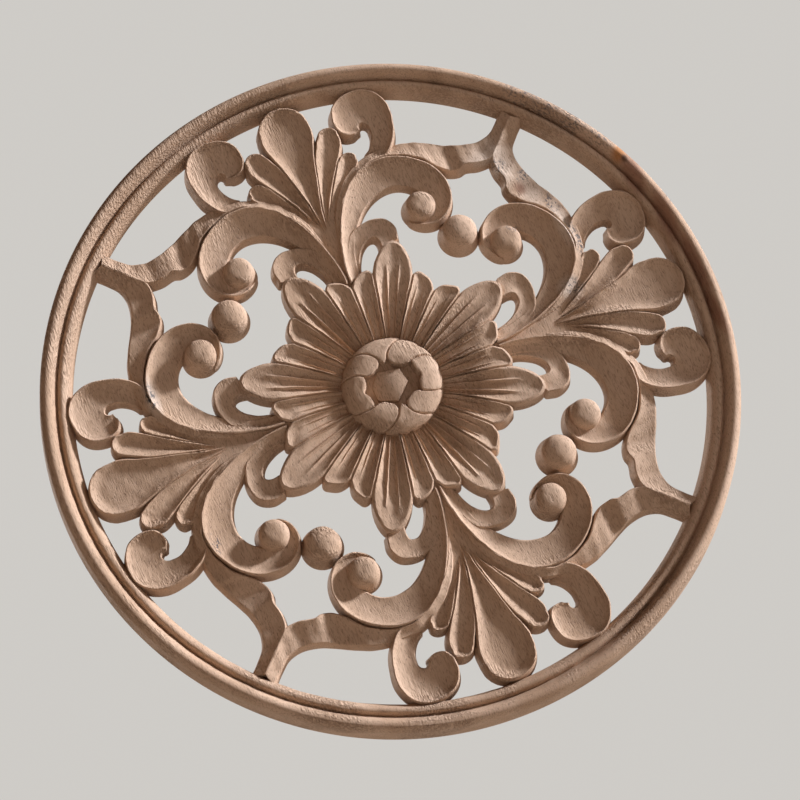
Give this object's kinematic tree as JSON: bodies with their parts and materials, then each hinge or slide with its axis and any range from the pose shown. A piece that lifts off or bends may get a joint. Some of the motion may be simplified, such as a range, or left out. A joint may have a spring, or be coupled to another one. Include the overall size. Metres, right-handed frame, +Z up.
{
  "type": "pierced carved wooden rosette",
  "caption": "Flat round wall rosette of carved hardwood, pierced through between a petalled flower, scrolls, palmettes and beads inside a moulded ring.",
  "frame": {"origin": "centre of the flat back face, on the rosette's axis", "axes": "+Z up, along one palmette; the carved face looks along -Y; +X to the right seen from the front"},
  "size_m": [0.3, 0.013, 0.3],
  "materials": {
    "raw_wood": "raw carved hardwood, unfinished"
  },
  "bodies": {
    "root": {"carved_rosette": "raw_wood"}
  },
  "joints": []
}
